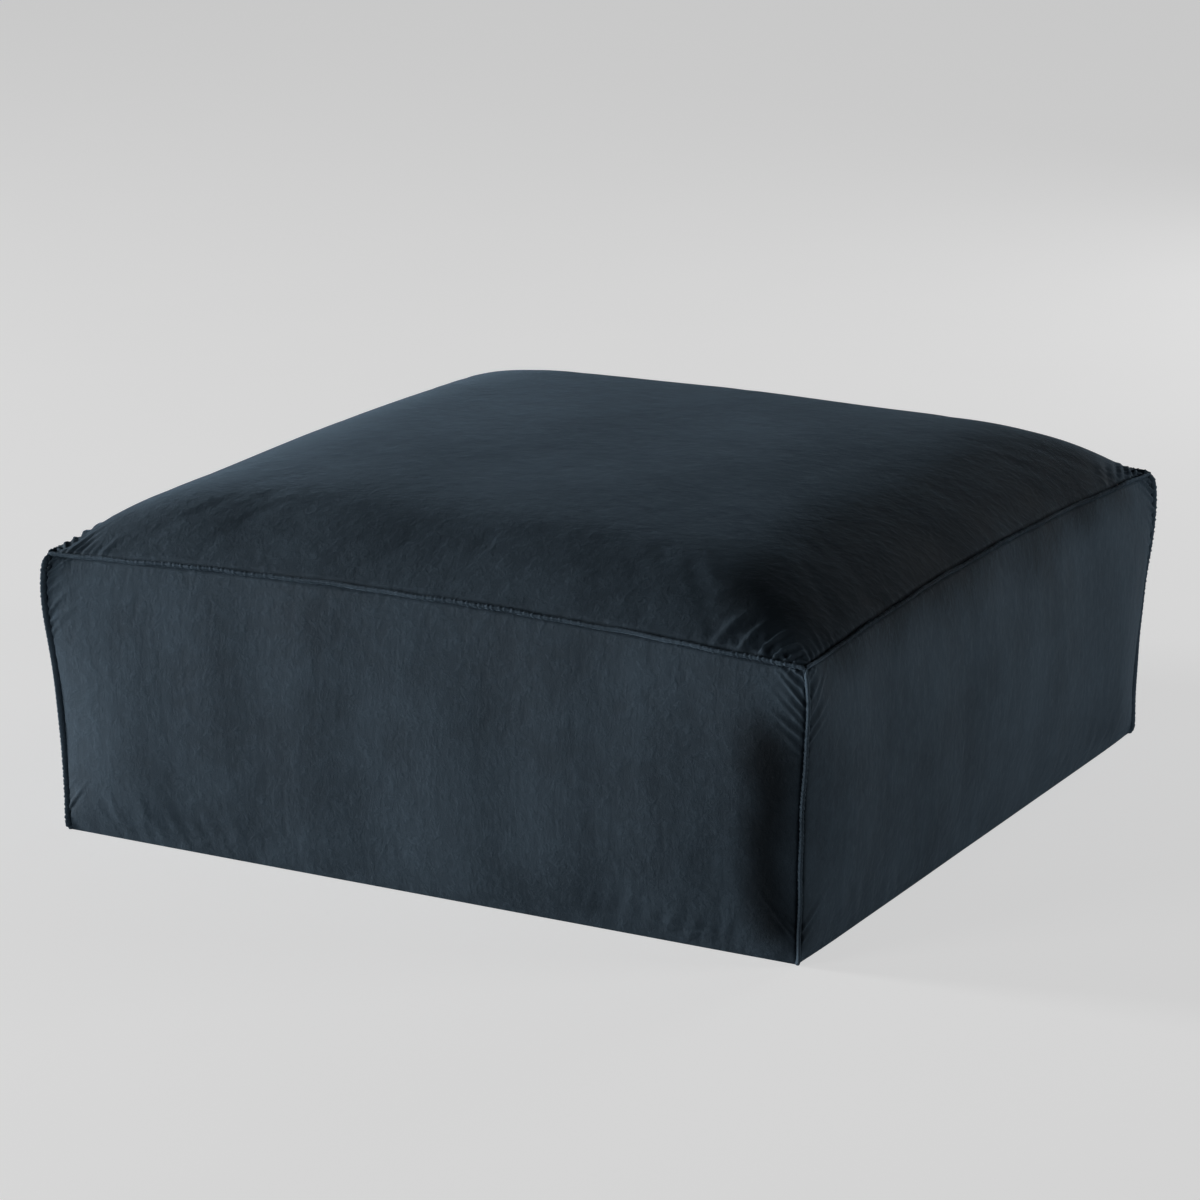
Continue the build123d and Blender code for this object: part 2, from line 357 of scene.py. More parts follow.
# Puckers that run off a seam: where they start and end along it, their spacing, length, height and lean
TOP_CORNER_PUCKERS = (0.014, 0.13, 0.0110, 0.018, 0.0022, 0.7)
TOP_EDGE_PUCKERS = (0.11, 0.48, 0.021, 0.010, 0.00035, 0.2)
CORNER_SEAM_PUCKERS = (0.016, 0.112, 0.0120, 0.026, 0.0034, -0.75)
LOWER_SEAM_PUCKERS = (0.095, 0.26, 0.016, 0.009, 0.0005, 0.1)
FOOT_CORNER_PUCKERS = (0.030, 0.060, 0.014, 0.026, 0.0018, 1.1)
UNDER_CORNER_PUCKERS = (0.006, 0.050, 0.0056, 0.011, 0.0015, 0.3)
FOOT_PUCKERS = (0.09, 0.30, 0.024, 0.030, 0.0010, -0.3)
FOOT_PUCKERS_RISE = 0.026
UNDER_SEAM_PUCKERS = (0.05, 0.9, 0.024, 0.010, 0.00045, 0.1)
PUCKER_FADE = 1.2  # how much weaker puckers are at the end of their stretch

# Folds across a corner of the top panel, nearest the corner first
NEAR_FOLDS = [
    (0.014, 0.002, 0.009, 0.0022, 0.0026, 0.25),
    (0.024, 0.008, 0.014, 0.0026, 0.0036, -0.30),
    (0.035, 0.016, 0.018, 0.0030, 0.0038, -0.22),
    (0.050, 0.026, 0.024, 0.0034, 0.0038, -0.34),
    (0.068, 0.044, 0.022, 0.0048, 0.0026, -0.40),
    (0.090, 0.066, 0.024, 0.0060, 0.0018, -0.30),
]
LIGHT_FOLDS = [(d, -p, h, w, 0.7 * z, slant) for d, p, h, w, z, slant in NEAR_FOLDS]

HOLLOW_DEPTH = 0.0032  # of the hollow under each top corner
HOLLOW_AWAY, HOLLOW_AWAY_SIZE = 0.010, 0.008  # from the corner seam
HOLLOW_DOWN, HOLLOW_DOWN_SIZE = 0.015, 0.012  # from the top seam
PANEL_WAVES = 0.0012  # height of the slow waves in a filled panel
TOP_WAVES = 0.0011


def seam_sink(distance, from_corner):
    """How far a panel sinks at distance from a seam. It dies out at the corners, where three panels meet."""
    fade = 1 - np.exp(-(from_corner / SEAM_FADE) ** 2)
    return SEAM_SINK * np.exp(-(distance / SEAM_SOFTNESS) ** 2) * fade


def crease(offset):
    """Section of one pucker, offset counted in its widths: a ridge with a shallow valley on each side."""
    return (1 - offset ** 2) * np.exp(-offset ** 2 / 2)


def gathers(along, away, start, end, spacing, length, height, lean, seed):
    """Puckers that run off a seam, between start and end along it. along is the distance along the seam from
    its corner, and away the distance from the seam. lean is how far a pucker runs along per unit away."""
    random = np.random.default_rng(seed)
    total = np.zeros(np.broadcast(along, away).shape)
    at = start
    while at < end:
        own_length = length * random.uniform(0.6, 1.5)
        own_height = height * random.uniform(0.4, 1.25)
        own_lean = lean + random.uniform(-0.25, 0.25)
        width = spacing * random.uniform(0.26, 0.4)
        fade = np.exp(-((at - start) / (end - start)) ** 2 * PUCKER_FADE)
        offset = (along - at - own_lean * away) / width
        rise = 1 - np.exp(-(away / PUCKER_START) ** 2)
        total += own_height * fade * crease(offset) * rise * np.exp(-(away / own_length) ** 2)
        at += spacing * random.uniform(0.7, 1.35)
    return total


def corner_folds(a, b, folds):
    """Folds across a corner of the top panel. a and b are distances from the corner's two seams. Each fold
    is (distance from the corner, place across, half length, width, height, slant)."""
    out = (a + b) / math.sqrt(2)
    across = (a - b) / math.sqrt(2)
    total = np.zeros(a.shape)
    for distance, place, half_length, width, height, slant in folds:
        offset = (out - distance - slant * (across - place)) / width
        total += height * crease(offset) * np.exp(-((across - place) / half_length) ** 4)
    return total * (1 - np.exp(-(np.minimum(a, b) / FOLD_START) ** 2))


def waves(points, seed, size, height):
    """Soft hollows and swells in a filled panel."""
    flat = points.reshape(-1, 3)
    return (soft_noise(flat, seed, size) * height).reshape(points.shape[:-1])


# ---------- Meshes

def new_object(name, points, faces, smooth_shading=True):
    mesh = bpy.data.meshes.new(name)
    mesh.from_pydata(np.asarray(points).reshape(-1, 3).tolist(), [], faces)
    mesh.polygons.foreach_set("use_smooth", [smooth_shading] * len(mesh.polygons))
    mesh.update()
    made = bpy.data.objects.new(name, mesh)
    bpy.context.scene.collection.objects.link(made)
    return made


def grid_faces(rows, columns, first=0, flip=False):
    """The four-sided faces of a grid of points that starts at point number first."""
    index = first + np.arange(rows * columns).reshape(rows, columns)
    quads = np.stack([index[:-1, :-1], index[1:, :-1], index[1:, 1:], index[:-1, 1:]], -1).reshape(-1, 4)
    return (quads[:, ::-1] if flip else quads).tolist()


def rim_faces(rows, columns, second):
    """Joins the edges of a grid to those of a second grid of the same size, whose points start at second."""
    index = np.arange(rows * columns).reshape(rows, columns)
    loop = np.concatenate([index[:, 0], index[-1, 1:], index[-2::-1, -1], index[0, -2:0:-1]])
    after = np.roll(loop, -1)
    return np.stack([after, loop, loop + second, after + second], -1).tolist()


def tubes_object(name, points, tubes, rings, around):
    """Closed tubes, one after another, each of some rings of points with so many points around."""
    index = np.arange(tubes * rings * around).reshape(tubes, rings, around)
    after = np.roll(index, -1, axis=2)
    sides = np.stack([index[:, :-1], index[:, 1:], after[:, 1:], after[:, :-1]], -1).reshape(-1, 4)
    ends = index[:, 0].tolist() + index[:, -1, ::-1].tolist()
    return new_object(name, points, sides.tolist() + ends)


def filled(name, upper, lower):
    """A closed piece between two grids of points."""
    rows, columns = upper.shape[:2]
    count = rows * columns
    faces = grid_faces(rows, columns) + grid_faces(rows, columns, count, flip=True)
    faces += rim_faces(rows, columns, count)
    return new_object(name, np.concatenate([upper.reshape(-1, 3), lower.reshape(-1, 3)]), faces)


def cloth_object(name, outer, thickness):
    """A closed sheet of cloth whose outer face is the grid outer."""
    inner = outer - normals_of(outer) * thickness
    inner[..., 2] = np.maximum(inner[..., 2], 0.0)
    return filled(name, outer, inner)


VELVET_THICK = 0.0022
PANEL_NEAR = 0.0014  # spacing of a fine panel's points beside its seams
PANEL_FAR, PANEL_REACH = 0.0062, 0.13  # along the cushion, their spacing in the middle and where it is met
UPRIGHT_FAR, UPRIGHT_REACH = 0.0042, 0.22  # the same up a side panel


def unit(x, y, z):
    """The unit vector in this direction."""
    v = np.array([x, y, z], float)
    return v / np.linalg.norm(v)


def top_panel(ids, places):
    """The fine surface of the top panel, sunk into the seam all round."""
    grid = grid_of(top_lattice(RISE_CELLS), ids, places)
    length = 2 * SEAM_HALF
    along = graded(length, PANEL_NEAR, PANEL_FAR, PANEL_REACH)
    cells = along / length * SIDE_CELLS
    surface = refined(grid, cells, np.tile(cells, (len(cells), 1)))
    a, b = np.meshgrid(along, along, indexing="ij")
    left, right, front, back = a, length - a, b, length - b
    from_side_corner = np.minimum(front, back)
    from_front_corner = np.minimum(left, right)
    outward = normals_of(surface)

    detail = waves(surface, 11, 0.34, TOP_WAVES)
    for side_edge, end_edge, folds in (
        (right, front, NEAR_FOLDS),
        (right, back, LIGHT_FOLDS),
        (left, front, LIGHT_FOLDS),
        (left, back, NEAR_FOLDS),
    ):
        detail += corner_folds(side_edge, end_edge, folds)
    seed = 100
    sides, ends = (left, right), (front, back)
    for away, corners in ((front, sides), (back, sides), (left, ends), (right, ends)):
        for from_corner in corners:
            seed += 1
            detail += gathers(from_corner, away, *TOP_CORNER_PUCKERS, seed)
            detail += gathers(from_corner, away, *TOP_EDGE_PUCKERS, seed + 50)
    surface = surface + outward * detail[..., None]
    for away, from_corner, partner in (
        (front, from_front_corner, unit(0, -TOP_SEAM_OUT, TOP_SEAM_UP)),
        (back, from_front_corner, unit(0, TOP_SEAM_OUT, TOP_SEAM_UP)),
        (left, from_side_corner, unit(-TOP_SEAM_OUT, 0, TOP_SEAM_UP)),
        (right, from_side_corner, unit(TOP_SEAM_OUT, 0, TOP_SEAM_UP)),
    ):
        surface = surface - seam_sink(away, from_corner)[..., None] * partner
    return surface


def side_detail(quarter, surface, left, right, foot, seam):
    """Folds of one side panel. left and right are distances from its corner seams as seen from outside, and
    foot and seam are distances from its lower edge and from the top seam."""
    detail = waves(surface, 20 + quarter, 0.20, PANEL_WAVES)
    upright = waves(surface * [1, 1, 0.3], 40 + quarter, 0.13, 1.0)
    middle = smooth(left / 0.10) * smooth(right / 0.10) * smooth(foot / 0.05) * smooth(seam / 0.06)
    detail += PANEL_WAVES * upright * middle
    for end, away in enumerate((left, right)):
        seed = 200 + 10 * quarter + end
        detail += gathers(seam, away, *CORNER_SEAM_PUCKERS, seed)
        detail += gathers(seam, away, *LOWER_SEAM_PUCKERS, seed + 2)
        detail += gathers(foot, away, *FOOT_CORNER_PUCKERS, seed + 4)
        detail += gathers(away, seam, *UNDER_CORNER_PUCKERS, seed + 6)
        hollow = ((away - HOLLOW_AWAY) / HOLLOW_AWAY_SIZE) ** 2
        hollow = hollow + ((seam - HOLLOW_DOWN) / HOLLOW_DOWN_SIZE) ** 2
        detail -= HOLLOW_DEPTH * np.exp(-hollow)
        detail += gathers(away, foot - FOOT_PUCKERS_RISE, *FOOT_PUCKERS, seed + 8)
    detail += gathers(left, seam, *UNDER_SEAM_PUCKERS, 300 + quarter)
    return detail


ZIP_FLAT_REACH, ZIP_FLAT_FADE = 0.052, 0.034  # above and below the zip, how far the back panel is held flat
ZIP_END_REACH, ZIP_END_FADE = 0.035, 0.03  # the same past its ends
SLIT_END_TAPER = 0.004
SLIT_CLEARANCE = 0.0001
SLIT_SINK, SLIT_SINK_REACH = 0.0022, 0.0062  # how far the edges of the slit are turned in


def zip_share(points):
    """1 along the zip, where the tape holds the back panel flat, falling to 0 a few centimetres away."""
    x, y, z = points[..., 0], points[..., 1], points[..., 2]
    beside = smooth((ZIP_FLAT_REACH - np.abs(z - ZIP_HEIGHT)) / ZIP_FLAT_FADE)
    past_end = smooth((ZIP_HALF + ZIP_END_REACH - np.abs(x)) / ZIP_END_FADE)
    on_back = y > 0.8 * SEAM_HALF
    return beside * past_end * on_back


def drawn_to_zip(points):
    """The same points, with the ones by the zip moved to the face of the zip."""
    drawn = points.copy()
    drawn[..., 1] += zip_share(points) * (ZIP_FACE - points[..., 1])
    return drawn


def side_panel(ids, places, quarter, part="whole"):
    """The fine surface of one side panel. The back is made in two parts, above and below the zip."""
    grid = grid_of(side_lattice(quarter), ids, places)
    length = 2 * SEAM_HALF
    along = graded(length, PANEL_NEAR, PANEL_FAR, PANEL_REACH)
    cells = along / length * SIDE_CELLS
    columns = spline_weights(SIDE_CELLS, cells) @ grid.reshape(SIDE_CELLS + 1, -1)
    columns = columns.reshape(len(cells), RISE_CELLS + 1, 3)
    first_row = np.zeros(len(cells))
    last_row = np.full(len(cells), float(RISE_CELLS))
    if part != "whole":
        from_end = ZIP_HALF + SLIT_END_TAPER / 2 - np.abs(columns[:, RISE_CELLS // 2, 0])
        gap = ZIP_GAP * smooth(from_end / SLIT_END_TAPER) + SLIT_CLEARANCE
        level = ZIP_HEIGHT + (gap if part == "upper" else -gap)
        at_zip = [np.interp(z, column[:, 2], np.arange(RISE_CELLS + 1)) for z, column in zip(level, columns)]
        if part == "upper":
            first_row = np.array(at_zip)
        else:
            last_row = np.array(at_zip)
    heights = lengths_along(grid[SIDE_CELLS // 2])
    middle = np.array([first_row.mean(), last_row.mean()])
    low, high = np.interp(middle, np.arange(RISE_CELLS + 1), heights)
    share = graded(high - low, PANEL_NEAR, UPRIGHT_FAR, UPRIGHT_REACH) / (high - low)
    even_rows = np.interp(low + share * (high - low), heights, np.arange(RISE_CELLS + 1))
    even_share = (even_rows - middle[0]) / (middle[1] - middle[0])
    rows = first_row[:, None] + even_share * (last_row - first_row)[:, None]
    surface = refined(grid, cells, rows)
    a, foot = np.meshgrid(along, low + share * (high - low), indexing="ij")
    if quarter == 2:
        surface = drawn_to_zip(surface)
    return finish_side(surface, quarter, a, length - a, foot, heights[-1] - foot, part)


def finish_side(surface, quarter, left, right, foot, seam, part):
    """Adds a side panel's folds, sinks it into its seams and turns it under at the foot."""
    outward = normals_of(surface)
    detail = side_detail(quarter, surface, left, right, foot, seam) * smooth(foot / 0.03)
    if quarter == 2:
        detail *= 1 - zip_share(surface)
        from_slit = np.abs(surface[..., 2] - ZIP_HEIGHT)
        detail -= SLIT_SINK * np.exp(-(from_slit / SLIT_SINK_REACH) ** 8) * (part != "whole")
    surface = surface + outward * detail[..., None]
    from_side_corner = np.minimum(left, right)
    for away, from_corner, partner in (
        (seam, from_side_corner, unit(0, -TOP_SEAM_OUT, TOP_SEAM_UP)),
        (left, seam, unit(-1, -1, 0)),
        (right, seam, unit(1, -1, 0)),
    ):
        sink = seam_sink(away, from_corner)
        if away is not seam:
            sink = sink * smooth(foot / 0.012)
        surface = surface - sink[..., None] * turned(partner, quarter)
    surface[..., 2] = np.maximum(surface[..., 2], 0.0)
    return surface if part == "upper" else with_turn_under(surface, quarter)


def with_turn_under(surface, quarter):
    """Adds the part of a side panel that runs on under the cushion, mitred at the corners."""
    foot = turned(surface[:, 0], -quarter)
    reach = -foot[:, 1] - BASE_CLOTH_HALF
    rows = []
    for share in np.linspace(1, 0, 7)[:-1]:
        row = foot.copy()
        row[:, 1] += reach * share
        row[:, 0] *= 1 - share * reach / np.abs(foot[:, 1])
        rows.append(turned(row, quarter))
    return np.concatenate([np.stack(rows, axis=1), surface], axis=1)


def ridge(name, line, outward, start_taper=0.0, end_taper=0.0, seed=0, wide=0.0021, proud=0.0031):
    """The raised edge of a seam: an oval band of velvet along line, a little wrinkled."""
    random = np.random.default_rng(seed)
    at = lengths_along(line)
    count = int(at[-1] / 0.0013)
    even = np.linspace(0, at[-1], count + 1)
    centre = np.stack([np.interp(even, at, line[:, k]) for k in range(3)], -1)
    out = np.stack([np.interp(even, at, outward[:, k]) for k in range(3)], -1)
    ahead = np.gradient(centre, axis=0)
    ahead /= np.linalg.norm(ahead, axis=1, keepdims=True)
    out -= ahead * np.sum(out * ahead, axis=1, keepdims=True)
    out /= np.linalg.norm(out, axis=1, keepdims=True)
    across = np.cross(ahead, out)

    size = np.ones(len(even))
    if start_taper:
        size *= smooth(even / start_taper) * 0.9 + 0.1
    if end_taper:
        size *= smooth((even[-1] - even) / end_taper) * 0.9 + 0.1
    angles = np.linspace(0, 2 * math.pi, 14, endpoint=False)
    phase = random.uniform(0, 6, 6)
    wander = 0.0005 * np.sin(even / 0.031 + phase[0]) + 0.0004 * np.sin(even / 0.0123 + phase[1])
    wrinkle = np.zeros((len(even), len(angles)))
    for step, (period, strength) in enumerate(((0.0052, 0.16), (0.0031, 0.10), (0.0084, 0.12))):
        slant = random.uniform(-1.2, 1.2)
        drift = 1.3 * np.sin(even / 0.027 + phase[2 + step])
        wave = np.sin(even[:, None] * 2 * math.pi / period + slant * np.sin(angles) + drift[:, None])
        wrinkle += strength * wave * (0.6 + 0.4 * np.sin(even / 0.06 + phase[4])[:, None])
    radius = size[:, None] * (1 + wrinkle)
    sideways = np.sin(angles) * wide * radius
    reach = np.where(np.cos(angles) > 0, proud, SEAM_SINK + 0.0016)
    outwards = np.cos(angles) * reach * radius
    points = (
        centre[:, None]
        + across[:, None] * (sideways + (wander * size)[:, None])[..., None]
        + out[:, None] * outwards[..., None]
    )
    points[..., 2] = np.maximum(points[..., 2], 0.0002)
    return tubes_object(name, points, 1, len(even), len(angles))


ids = lattice_point_ids()
places = simulate_cover(ids)
SIDES = ("front", "right", "back", "left")

panels = {"top": cloth_object("velvet_top", top_panel(ids, places), VELVET_THICK)}
for quarter, side in enumerate(SIDES):
    for part in ("upper", "lower") if side == "back" else ("whole",):
        name = side if part == "whole" else f"{side}_{part}"
        panels[name] = cloth_object(f"velvet_{name}", side_panel(ids, places, quarter, part), VELVET_THICK)


def seam_line(ids, places, quarter, where):
    """A seam's line of fine points: the top edge of a side panel, or the upright seam at its left end."""
    grid = grid_of(side_lattice(quarter), ids, places)
    if where == "top":
        cells = np.linspace(0, SIDE_CELLS, 700)
        return spline_weights(SIDE_CELLS, cells) @ grid[:, -1]
    cells = np.linspace(0, RISE_CELLS, 400)
    return spline_weights(RISE_CELLS, cells) @ grid[0]


welts = {}
for quarter, side in enumerate(SIDES):
    line = seam_line(ids, places, quarter, "top")
    outward = np.tile(turned(unit(0, -RIDGE_OUT, RIDGE_UP), quarter), (len(line), 1))
    welts[side] = ridge(f"top_seam_{side}", line + outward * 0.0004, outward, 0.006, 0.006, 40 + quarter)
    foot_to_top = seam_line(ids, places, quarter, "upright")
    outward = np.tile(turned(unit(-1, -1, 0), quarter), (len(foot_to_top), 1))
    welts[f"corner {side}"] = ridge(f"corner_seam_{side}_left", foot_to_top, outward, 0, 0.008, 50 + quarter)


# ---------- Inside: liner, fibre and the base

LINER_DEPTH = 0.006
LINER_THICK = 0.0015
FIBRE_DEPTH = 0.008
FIBRE_THICK = 0.020
CORNER_FIBRE = 0.0004  # the fibre is pressed to almost nothing over the foam's corners
TUCK = 0.003  # how much deeper the liner and the fibre lie beside the cover's seams
TUCK_FROM, TUCK_SPAN = 0.93, 0.05  # where they do so, as shares of the way from the centre to a seam
PRESS_FROM, PRESS_SPAN = 0.86, 0.12  # where the fibre is pressed thin
BASE_THICK = 0.0012
BASE_LIFT = 0.0004  # floor to the base cloth
INNER_STEP = 2  # the inner pieces take every second point of the simulated grid


def inner_grid(keys, depth):
    """The simulated surface through these keys, moved inwards by one depth or by one for each point."""
    grid = drawn_to_zip(grid_of(keys, ids, places))[::INNER_STEP]
    normal = normals_of(grid)
    return grid - normal * np.broadcast_to(depth, grid.shape[:2])[..., None]


def tuck(from_centre):
    """The extra depth at this share of the way from the centre to a seam."""
    return TUCK * smooth((from_centre - TUCK_FROM) / TUCK_SPAN)


def fibre_thickness(from_centre):
    """The fibre's thickness at this share of the way from the centre to a seam."""
    pressed = smooth((from_centre - PRESS_FROM) / PRESS_SPAN)
    return CORNER_FIBRE + (FIBRE_THICK - CORNER_FIBRE) * (1 - pressed)


def no_thickness(from_centre):
    return 0 * from_centre


def level_sheet(height, steps):
    """A square level grid of points over the base cloth."""
    line = np.linspace(-BASE_CLOTH_HALF, BASE_CLOTH_HALF, steps)
    x, y = np.meshgrid(line, line, indexing="ij")
    return np.stack([x, y, np.full(x.shape, height)], -1)


def ring_of_sides(depth, rows, thickness=no_thickness):
    """A closed ring of points round the four sides, on these rows of the grid, moved inwards by depth, the
    tuck and a thickness that depends on the place."""
    sides = []
    for quarter in range(4):
        grid = inner_grid(side_lattice(quarter), 0.0)[:, rows]
        from_centre = np.abs(turned(grid, -quarter)[..., 0]) / SEAM_HALF
        own_depth = depth + tuck(from_centre) + thickness(from_centre)
        inwards = turned(unit(0, 1, 0), quarter) * own_depth[..., None]
        side_of = np.sign(turned(grid, -quarter)[..., 0])
        slide = turned(unit(1, 0, 0), quarter) * (side_of * own_depth)[..., None]
        along_share = smooth((from_centre - 0.8) / 0.2)
        sides.append((grid + inwards - slide * along_share[..., None])[:-1])
    return np.concatenate(sides)


def ring_object(name, outer, inner):
    """A closed band between two rings of points, each [round][up]."""
    count, rows = outer.shape[:2]
    section = np.concatenate([outer, inner[:, ::-1]], axis=1)
    width = 2 * rows
    index = np.arange(count * width).reshape(count, width)
    after = np.roll(index, -1, axis=0)
    quads = np.stack([index, after, np.roll(after, -1, axis=1), np.roll(index, -1, axis=1)], -1)
    return new_object(name, section, quads.reshape(-1, 4).tolist())


def liner_and_fibre():
    """The cotton liner round the filling, the fibre layer on top of the foam and the one round its sides."""
    top_keys = [row[::INNER_STEP] for row in top_lattice(RISE_CELLS)]
    share = np.linspace(-1, 1, len(top_keys[0]))
    edge = np.maximum(*np.abs(np.meshgrid(share, share)))
    shrink = 1 - LINER_DEPTH / SEAM_HALF

    def under_top(depth):
        grid = inner_grid(top_keys, depth + tuck(edge))
        grid[..., :2] *= shrink
        return grid

    liner_rows = slice(1, RISE_CELLS + 1)
    liner_outer = ring_of_sides(LINER_DEPTH, liner_rows)
    liner_inner = ring_of_sides(LINER_DEPTH + LINER_THICK, liner_rows)
    wadding_rows = slice(3, RISE_CELLS - 1)
    wadding_outer = ring_of_sides(FIBRE_DEPTH, wadding_rows)
    wadding_inner = ring_of_sides(FIBRE_DEPTH, wadding_rows, fibre_thickness)
    thick = fibre_thickness(edge)
    liner_base_top = level_sheet(LINER_DEPTH + 1.5 * LINER_THICK, 20)
    return {
        "liner_top": filled("liner_top_panel", under_top(LINER_DEPTH), under_top(LINER_DEPTH + LINER_THICK)),
        "liner_boxing": ring_object("liner_sides", liner_outer, liner_inner),
        "liner_base": filled("liner_base_panel", liner_base_top, liner_base_top - [0, 0, LINER_THICK]),
        "fibre_topper": filled("fibre_top_layer", under_top(FIBRE_DEPTH), under_top(FIBRE_DEPTH + thick)),
        "side_wadding": ring_object("fibre_side_layer", wadding_outer, wadding_inner),
    }


def base_cloth():
    """The non-slip cloth under the cushion, sewn between the turned-under side panels."""
    top = level_sheet(BASE_LIFT + BASE_THICK, 60)
    return filled("base_cloth", top, top - [0, 0, BASE_THICK])


inner = liner_and_fibre()
base = base_cloth()


# ---------- Zip

TEETH_LOW, TEETH_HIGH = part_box("zip_teeth_upper")
TOOTH_PITCH = 0.0026
TOOTH_WIDTH = 0.52 * TOOTH_PITCH
TOOTH_REACH = 0.0026  # height of a tooth
TOOTH_ROW = 0.0011  # from the zip's middle line to the middle of a row of teeth
THREAD = 0.00035  # radius of a stitch's thread
STITCH_ROW = 0.0105  # from the zip's middle line to a row of stitches
STITCH_PAST_SLIT = 0.006


def boxes_object(name, centres, size, chamfer=0.75):
    """Many small blocks of one size in one piece, each narrower on its outer face."""
    x, y, z = np.array(size) / 2
    corner = np.array([
        (-x, -y, -z), (x, -y, -z), (x, -y, z), (-x, -y, z),
        (-x * chamfer, y, -z * chamfer), (x * chamfer, y, -z * chamfer),
        (x * chamfer, y, z * chamfer), (-x * chamfer, y, z * chamfer),
    ])
    sides = np.array([(0, 1, 2, 3), (7, 6, 5, 4), (0, 4, 5, 1), (1, 5, 6, 2), (2, 6, 7, 3), (3, 7, 4, 0)])
    points = np.asarray(centres)[:, None] + corner
    faces = (np.arange(len(centres)) * 8)[:, None, None] + sides
    return new_object(name, points, faces.reshape(-1, 4).tolist(), smooth_shading=False)


def zip_teeth(side):
    """One side of the closed zip: moulded teeth that reach across to the other side's, one between two."""
    sign = 1 if side == "upper" else -1
    half = TEETH_HIGH.x - TOOTH_PITCH
    shift = TOOTH_PITCH / 2 if side == "upper" else 0
    x = np.arange(-half + shift, half, TOOTH_PITCH)
    depth = TEETH_HIGH.y - TEETH_LOW.y
    y = np.full(len(x), TEETH_LOW.y + depth / 2)
    z = np.full(len(x), ZIP_HEIGHT + sign * TOOTH_ROW)
    return boxes_object(f"zip_teeth_{side}_row", np.stack([x, y, z], -1), (TOOTH_WIDTH, depth, TOOTH_REACH))


def stitches(name, line, outward, length=0.0034, gap=0.0012):
    """A row of stitches along a line of points: short rounded threads with a gap between them."""
    at = lengths_along(line)
    starts = np.arange(0.001, at[-1] - length, length + gap)
    share = np.array([0, 0.12, 0.5, 0.88, 1])
    height = np.array([-1.2, 0.3, 0.8, 0.3, -1.2]) * THREAD
    ring = np.linspace(0, 2 * math.pi, 6, endpoint=False)
    where = (starts[:, None] + share * length).ravel()
    centre = np.stack([np.interp(where, at, line[:, k]) for k in range(3)], -1)
    centre += np.outer(np.tile(height, len(starts)), outward)
    ahead = (line[-1] - line[0]) / np.linalg.norm(line[-1] - line[0])
    across = np.cross(ahead, outward)
    around = np.cos(ring)[:, None] * outward + np.sin(ring)[:, None] * across
    points = centre[:, None] + around * THREAD
    return tubes_object(name, points, len(starts), len(share), len(ring))


teeth = {side: zip_teeth(side) for side in ("upper", "lower")}
zip_stitches = []
for side, sign in (("upper", 1), ("lower", -1)):
    x = np.linspace(-ZIP_HALF - STITCH_PAST_SLIT, ZIP_HALF + STITCH_PAST_SLIT, 300)
    z = np.full(len(x), ZIP_HEIGHT + sign * STITCH_ROW)
    row = np.stack([x, np.full(len(x), ZIP_FACE + 0.0001), z], -1)
    zip_stitches.append(stitches(f"zip_stitches_{side}", row, unit(0, 1, 0)))


# ---------- Materials

class Nodes:
    """Makes and joins the nodes of one material."""

    def __init__(self, name):
        self.material = bpy.data.materials.new(name)
        self.material.use_nodes = True
        self.tree = self.material.node_tree
        self.shader = self.tree.nodes["Principled BSDF"]
        self.place = self.tree.nodes.new("ShaderNodeTexCoord").outputs["Object"]

    def make(self, kind, settings=(), **inputs):
        node = self.tree.nodes.new(kind)
        for key, value in dict(settings).items():
            setattr(node, key, value)
        for key, value in inputs.items():
            self.put(value, node.inputs[key.replace("_", " ")])
        return node

    def put(self, value, socket):
        if isinstance(value, bpy.types.NodeSocket):
            self.tree.links.new(value, socket)
        else:
            socket.default_value = value

    def set(self, **inputs):
        for key, value in inputs.items():
            self.put(value, self.shader.inputs[key.replace("_", " ")])

    def noise(self, scale, detail=2.0, roughness=0.5, stretch=(1, 1, 1), turn=(0, 0, 0)):
        mapping = self.make("ShaderNodeMapping", Vector=self.place, Scale=stretch, Rotation=turn)
        place = mapping.outputs["Vector"]
        node = self.make("ShaderNodeTexNoise", Vector=place, Scale=scale, Detail=detail, Roughness=roughness)
        return node.outputs["Fac"]

    def math(self, operation, a, b=0.0):
        node = self.make("ShaderNodeMath", {"operation": operation})
        self.put(a, node.inputs[0])
        self.put(b, node.inputs[1])
        return node.outputs[0]

    def between(self, value, low, high, to_low=0.0, to_high=1.0):
        node = self.make("ShaderNodeMapRange", {"interpolation_type": "SMOOTHSTEP"}, Value=value)
        for key, number in (("From Min", low), ("From Max", high), ("To Min", to_low), ("To Max", to_high)):
            node.inputs[key].default_value = number
        return node.outputs["Result"]

    def mix(self, factor, a, b):
        node = self.make("ShaderNodeMix", {"data_type": "RGBA"})
        self.put(factor, node.inputs[0])
        self.put(a, node.inputs[6])
        self.put(b, node.inputs[7])
        return node.outputs[2]

    def bump(self, height, distance, strength=1.0, after=None):
        node = self.make("ShaderNodeBump", Height=height, Distance=distance, Strength=strength)
        if after is not None:
            self.put(after, node.inputs["Normal"])
        return node.outputs["Normal"]


